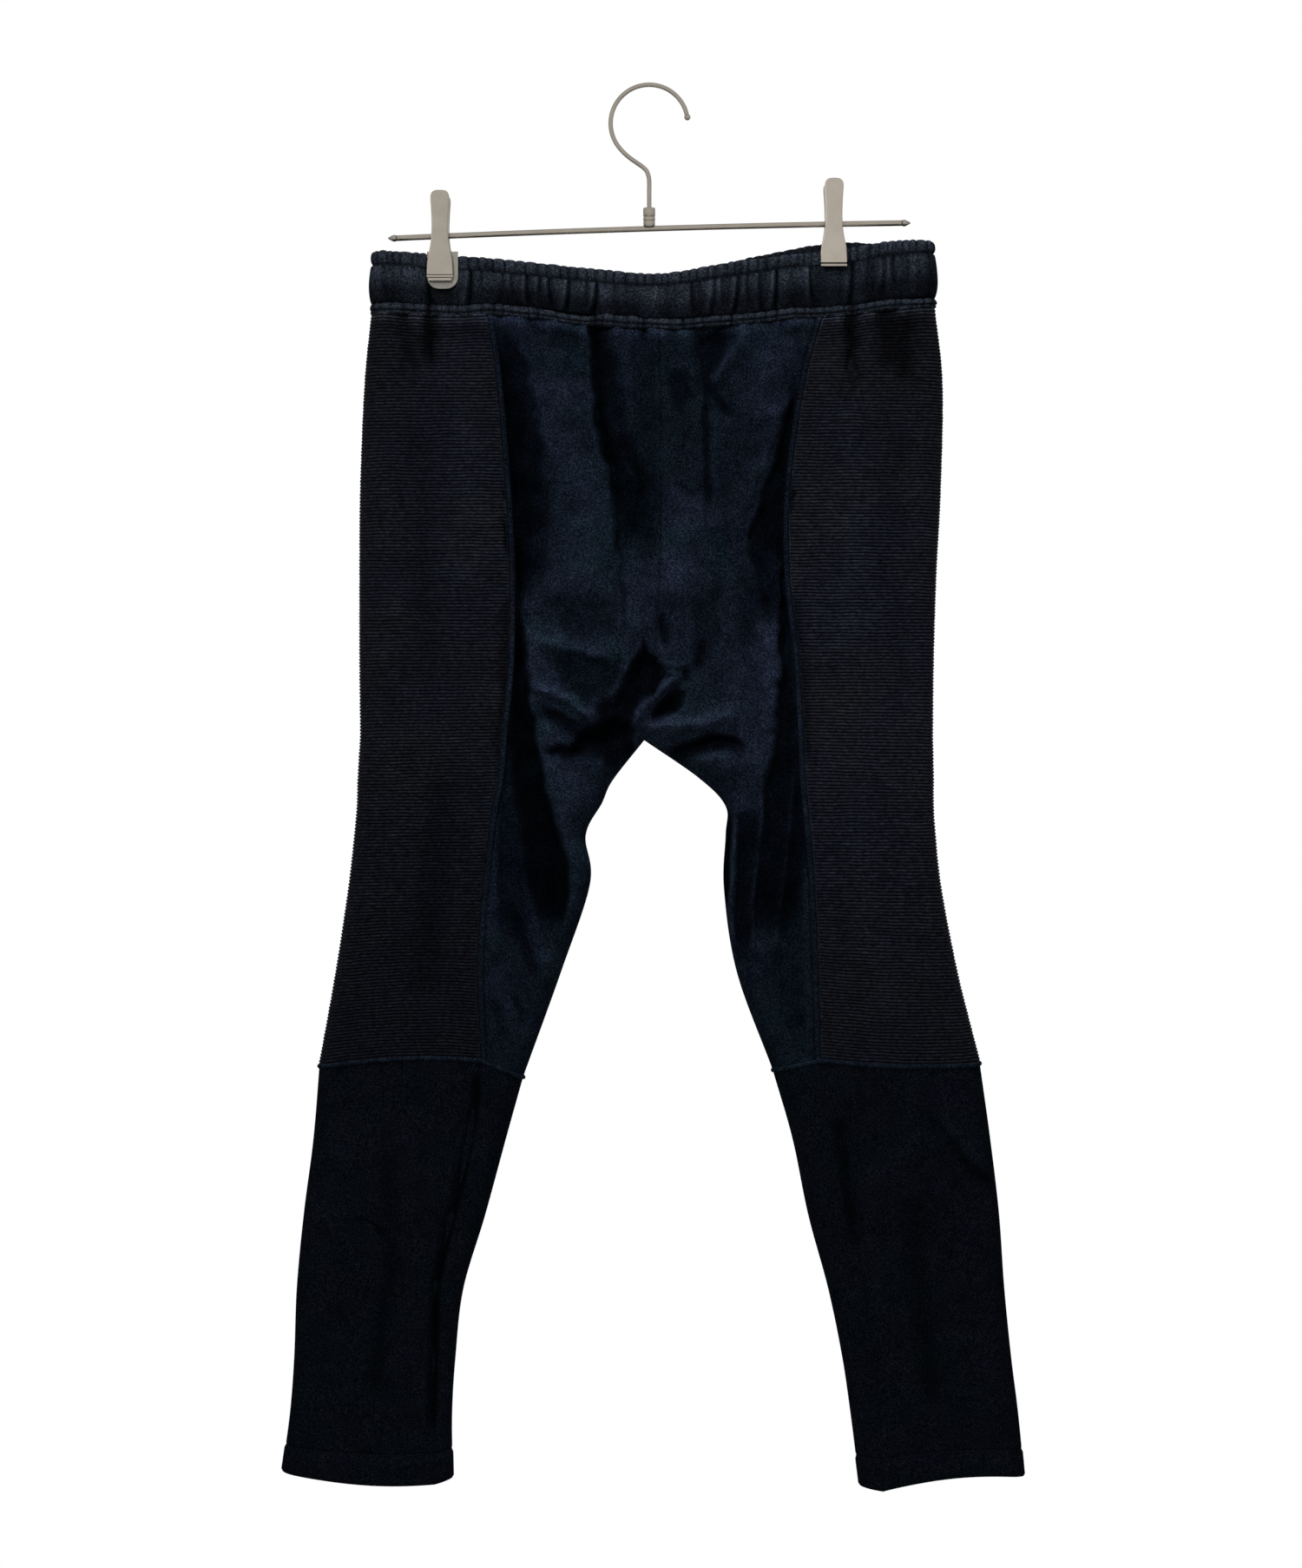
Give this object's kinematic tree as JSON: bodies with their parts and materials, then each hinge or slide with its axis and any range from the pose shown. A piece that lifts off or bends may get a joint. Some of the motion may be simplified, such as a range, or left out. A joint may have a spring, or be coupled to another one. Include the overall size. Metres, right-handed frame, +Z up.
{
  "type": "biker sweatpants on a metal clip hanger",
  "caption": "Black fleece biker sweatpants with cross-ribbed side panels and a gathered elastic waist, hung flat from a metal bar hanger with a hook and sprung clips.",
  "frame": {"origin": "the point inside the top of the hook's bend where it hangs on its rail", "axes": "+Z up along the hanging garment, +X to the right and -Y towards a viewer of the side shown"},
  "size_m": [0.5391, 0.0448, 1.0207],
  "materials": {
    "fleece": "matt brushed fleece",
    "rib_knit": "matt rib knit",
    "nickel": "satin nickel",
    "pad": "matt"
  },
  "bodies": {
    "root": {"waistband": "fleece", "waist_seam_band": "fleece", "rib_panel_l": "rib_knit", "front_centre_l": "fleece", "back_centre_l": "fleece", "knee_welt_l": "fleece", "calf_outer_l": "fleece", "calf_inner_l": "fleece", "rib_panel_r": "rib_knit", "front_centre_r": "fleece", "back_centre_r": "fleece", "knee_welt_r": "fleece", "calf_outer_r": "fleece", "calf_inner_r": "fleece", "hook": "nickel", "hook_tip": "nickel", "hook_ferrule": "nickel", "bar": "nickel", "bar_tip_l": "nickel", "bar_tip_r": "nickel", "clip_l_front_lever": "nickel", "clip_l_rear_lever": "nickel", "clip_l_spring": "nickel", "clip_r_front_lever": "nickel", "clip_r_rear_lever": "nickel", "clip_r_spring": "nickel", "clip_l_front_pad": "pad", "clip_l_rear_pad": "pad", "clip_r_front_pad": "pad", "clip_r_rear_pad": "pad", "clip_l_liner": "pad"}
  },
  "joints": []
}
